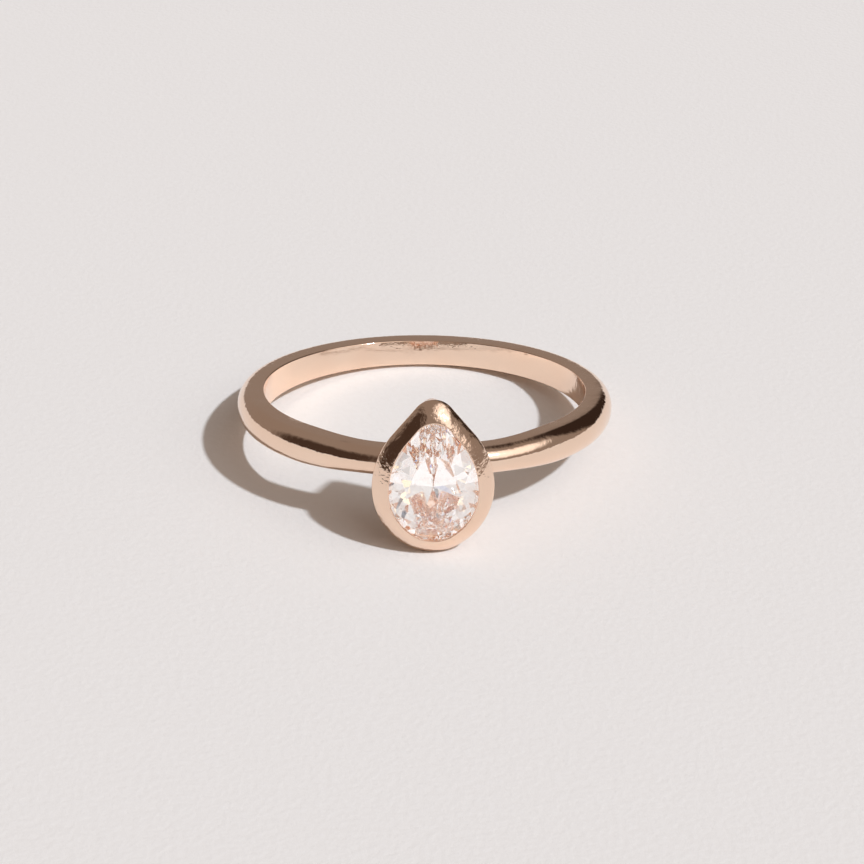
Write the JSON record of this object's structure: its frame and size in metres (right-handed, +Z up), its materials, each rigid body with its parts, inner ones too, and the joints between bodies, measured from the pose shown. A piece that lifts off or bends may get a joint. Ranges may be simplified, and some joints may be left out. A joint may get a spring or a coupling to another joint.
{
  "type": "engagement ring",
  "caption": "Solitaire ring with a pear-cut clear stone held point upward in a smooth rubbed-over collet, on a slim court-section shank; lying on its side.",
  "frame": {"origin": "middle of the finger hole, on the shank's middle plane", "axes": "the ring lies on its side as on a table: +Z up from the table, -Y from the hole towards the stone, +X to the right as the stone is faced; the finger hole's axis leans back from +Z towards +Y by 9.91 degrees, because the ring rests on the back of the shank and the round end of the collet"},
  "size_m": [0.0202, 0.0219, 0.008],
  "materials": {
    "rose_gold": "polished 14 carat rose gold, lightly hand-marked",
    "rose_gold_solder": "polished rose gold solder, a shade paler",
    "clear_stone": "polished brilliant-cut near-colourless gemstone"
  },
  "bodies": {
    "root": {"shank": "rose_gold", "collet": "rose_gold", "bearing_strip": "rose_gold", "gallery_rail": "rose_gold", "stone": "clear_stone", "shoulder_solder_left": "rose_gold_solder", "shoulder_solder_right": "rose_gold_solder", "collet_seam_solder": "rose_gold_solder", "bearing_solder": "rose_gold_solder", "rail_solder": "rose_gold_solder"}
  },
  "joints": []
}
